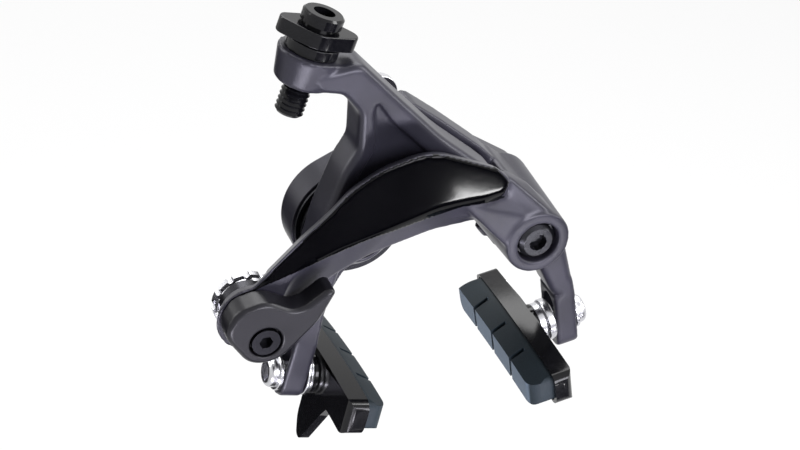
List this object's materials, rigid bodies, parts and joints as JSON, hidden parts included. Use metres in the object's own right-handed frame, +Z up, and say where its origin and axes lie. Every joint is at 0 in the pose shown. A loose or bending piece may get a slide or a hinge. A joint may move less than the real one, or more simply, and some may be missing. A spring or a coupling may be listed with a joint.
{
  "type": "side-pull rim brake caliper",
  "caption": "Bicycle rim brake caliper with two pivoted arms, slotted shoes, cable adjuster and quick-release cable anchor.",
  "frame": {"origin": "on the mounting bolt's axis, at the rear face of the seat washer that bears on the fork", "axes": "+Z up, +Y back into the fork along the mounting bolt, -Y the front of the brake, +X to the right as seen from the front"},
  "size_m": [0.1048, 0.0777, 0.1204],
  "materials": {
    "dark_paint": "satin anthracite coat",
    "black_gloss": "gloss black coat",
    "steel_bright": "bright plated",
    "chrome_steel": "chromed",
    "steel_dark": "dark plated",
    "spring_steel": "bright drawn wire",
    "bronze": "sintered bearing metal",
    "black_plastic": "low-friction resin",
    "pad_rubber": "slate blue-grey moulded"
  },
  "bodies": {
    "mount": {"mounting_bolt": "steel_dark", "seat_washer": "steel_dark", "fork_nut": "chrome_steel", "bridge_plate": "dark_paint", "left_pivot_bolt": "steel_dark", "left_pivot_washer": "steel_dark", "right_pivot_bolt": "steel_dark", "right_pivot_washer": "steel_dark", "spring_housing": "dark_paint", "return_spring": "spring_steel", "spring_cover": "steel_bright", "thrust_washer": "black_plastic"},
    "adjuster_side": {"adjuster_arm": "dark_paint", "left_pivot_bush": "bronze", "link_pin": "steel_bright", "adjuster_ring": "steel_bright"},
    "anchor_side": {"anchor_arm": "dark_paint", "right_pivot_bush": "bronze", "centring_screw": "steel_dark"},
    "link_wheel": {"link_roller": "black_plastic"},
    "quick_release": {"release_lever": "dark_paint", "release_cam": "steel_dark"},
    "cable_clamp": {"anchor_bolt": "steel_bright", "front_clamp_washer": "steel_bright", "rear_clamp_washer": "steel_bright"},
    "tension_nut": {"adjuster_nut": "black_gloss"},
    "tension_barrel": {"adjuster_barrel": "black_gloss"},
    "left_shoe_clamp": {"left_shoe_bolt": "steel_bright", "left_outer_washer": "steel_bright", "left_dished_washers": "steel_bright"},
    "left_shoe": {"left_pad_holder": "black_gloss", "left_pad_screw": "steel_bright", "left_brake_pad": "pad_rubber"},
    "right_shoe_clamp": {"right_shoe_bolt": "steel_bright", "right_outer_washer": "steel_bright", "right_dished_washers": "steel_bright"},
    "right_shoe": {"right_pad_holder": "black_gloss", "right_pad_screw": "steel_bright", "right_brake_pad": "pad_rubber"}
  },
  "joints": [
    {"name": "left_arm_pivot", "type": "hinge", "parent": "mount", "child": "adjuster_side", "pos_m": [-0.021, 0, -0.012], "axis": [0, -1, 0], "range_deg": [0, 15], "stiffness_Nm_per_rad": 0.8, "springref_deg": -28.65, "deforming": ["return_spring"]},
    {"name": "right_arm_pivot", "type": "hinge", "parent": "mount", "child": "anchor_side", "pos_m": [0.021, 0, -0.012], "axis": [0, 1, 0], "range_deg": [0, 15]},
    {"name": "link_roller_spin", "type": "hinge", "parent": "adjuster_side", "child": "link_wheel", "pos_m": [0.009, -0.01, 0.001], "axis": [0, 1, 0], "continuous": true},
    {"name": "release_lever_turn", "type": "hinge", "parent": "anchor_side", "child": "quick_release", "pos_m": [-0.0518, -0.0285, -0.0218], "axis": [0, -1, 0], "range_deg": [0, 100]},
    {"name": "anchor_bolt_turn", "type": "hinge", "parent": "quick_release", "child": "cable_clamp", "pos_m": [-0.05035, -0.0285, -0.02431], "axis": [0, -1, 0], "range_deg": [-180, 180]},
    {"name": "adjuster_nut_turn", "type": "hinge", "parent": "adjuster_side", "child": "tension_nut", "pos_m": [-0.03551, -0.0209, 0.04217], "axis": [-0.2823, 0, -0.9593], "range_deg": [0, 1800]},
    {"name": "adjuster_barrel_slide", "type": "slide", "parent": "adjuster_side", "child": "tension_barrel", "axis": [0.2823, 0, 0.9593], "range_m": [0, 0.005]},
    {"name": "left_shoe_height", "type": "slide", "parent": "adjuster_side", "child": "left_shoe_clamp", "axis": [0.2079, 0, 0.9781], "range_m": [-0.0003, 0.0075]},
    {"name": "left_shoe_swivel", "type": "hinge", "parent": "left_shoe_clamp", "child": "left_shoe", "pos_m": [-0.0376, -0.0242, -0.0488], "axis": [-0.9781, 0, 0.2079], "range_deg": [-12, 12]},
    {"name": "right_shoe_height", "type": "slide", "parent": "anchor_side", "child": "right_shoe_clamp", "axis": [-0.2079, 0, 0.9781], "range_m": [-0.0028, 0.005]},
    {"name": "right_shoe_swivel", "type": "hinge", "parent": "right_shoe_clamp", "child": "right_shoe", "pos_m": [0.0372, -0.0235, -0.0447], "axis": [0.9781, 0, 0.2079], "range_deg": [-12, 12]}
  ],
  "couplings": [
    {"joint": "right_arm_pivot", "follows": "left_arm_pivot", "ratio": 1},
    {"joint": "adjuster_barrel_slide", "follows": "adjuster_nut_turn", "m_per_rad": 0.00015915}
  ]
}
